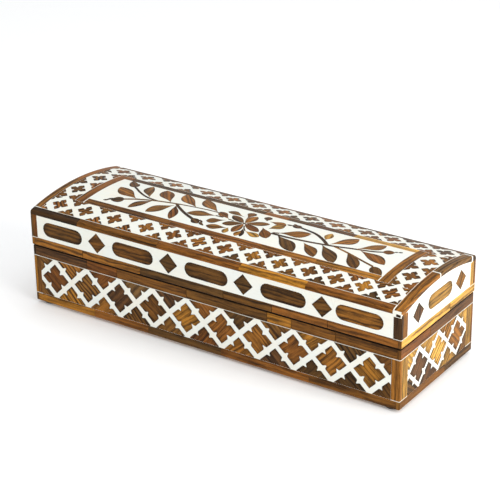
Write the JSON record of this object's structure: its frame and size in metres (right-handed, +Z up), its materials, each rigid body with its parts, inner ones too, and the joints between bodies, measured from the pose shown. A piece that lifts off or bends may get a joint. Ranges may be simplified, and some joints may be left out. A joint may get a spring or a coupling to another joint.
{
  "type": "inlaid wooden box",
  "caption": "Long low keepsake box with a hinged, shallow domed lid. Wood strips and bone-coloured panels inlaid with a lattice, lozenges and a floral scroll cover plain boards.",
  "frame": {"origin": "centre of the overall footprint, hinge knuckles included, at the underside of the feet", "axes": "+X along the box's length to the right, -Y out of the front, +Z up; the lid is shut at rest"},
  "size_m": [0.3048, 0.1058, 0.08],
  "materials": {
    "dark_wood": "lacquered dark hardwood",
    "brown_wood": "lacquered brown hardwood",
    "golden_wood": "lacquered golden hardwood",
    "board": "plain light board, satin",
    "bone": "polished bone and resin ground",
    "brass": "satin brass",
    "felt": "dark felt"
  },
  "bodies": {
    "base": {"base_back_bottom_rail": "brown_wood", "base_back_inlay": "bone", "base_back_top_rail": "brown_wood", "base_back_wall": "board", "base_floor": "board", "base_front_bottom_rail": "brown_wood", "base_front_inlay": "bone", "base_front_top_rail": "brown_wood", "base_front_wall": "board", "base_left_bottom_rail": "brown_wood", "base_left_inlay": "bone", "base_left_top_rail": "dark_wood", "base_left_wall": "board", "base_post_back_left": "golden_wood", "base_post_back_right": "golden_wood", "base_post_front_left": "golden_wood", "base_post_front_right": "golden_wood", "base_right_bottom_rail": "dark_wood", "base_right_inlay": "bone", "base_right_top_rail": "brown_wood", "base_right_wall": "board", "foot_back_left": "felt", "foot_back_right": "felt", "foot_front_left": "felt", "foot_front_right": "felt", "hinge_left_base_leaf": "brass", "hinge_left_pin": "brass", "hinge_right_base_leaf": "brass", "hinge_right_pin": "brass"},
    "lid": {"hinge_left_lid_leaf": "brass", "hinge_right_lid_leaf": "brass", "lid_back_bottom_rail": "brown_wood", "lid_back_inlay": "bone", "lid_back_top_rail": "dark_wood", "lid_back_wall": "board", "lid_dome_board": "board", "lid_frame_back": "brown_wood", "lid_frame_front": "brown_wood", "lid_frame_left": "golden_wood", "lid_frame_right": "golden_wood", "lid_front_bottom_rail": "brown_wood", "lid_front_inlay": "bone", "lid_front_top_rail": "dark_wood", "lid_front_wall": "board", "lid_left_arch_strip": "brown_wood", "lid_left_bottom_rail": "brown_wood", "lid_left_end": "board", "lid_left_inlay": "bone", "lid_post_back_left": "dark_wood", "lid_post_back_right": "dark_wood", "lid_post_front_left": "dark_wood", "lid_post_front_right": "dark_wood", "lid_right_arch_strip": "brown_wood", "lid_right_bottom_rail": "golden_wood", "lid_right_end": "board", "lid_right_inlay": "bone", "lid_top_border": "bone", "lid_top_panel": "bone"}
  },
  "joints": [
    {"name": "lid_hinge", "type": "hinge", "parent": "base", "child": "lid", "pos_m": [0, 0.05095, 0.04635], "axis": [-1, 0, 0], "range_deg": [0, 100]}
  ]
}
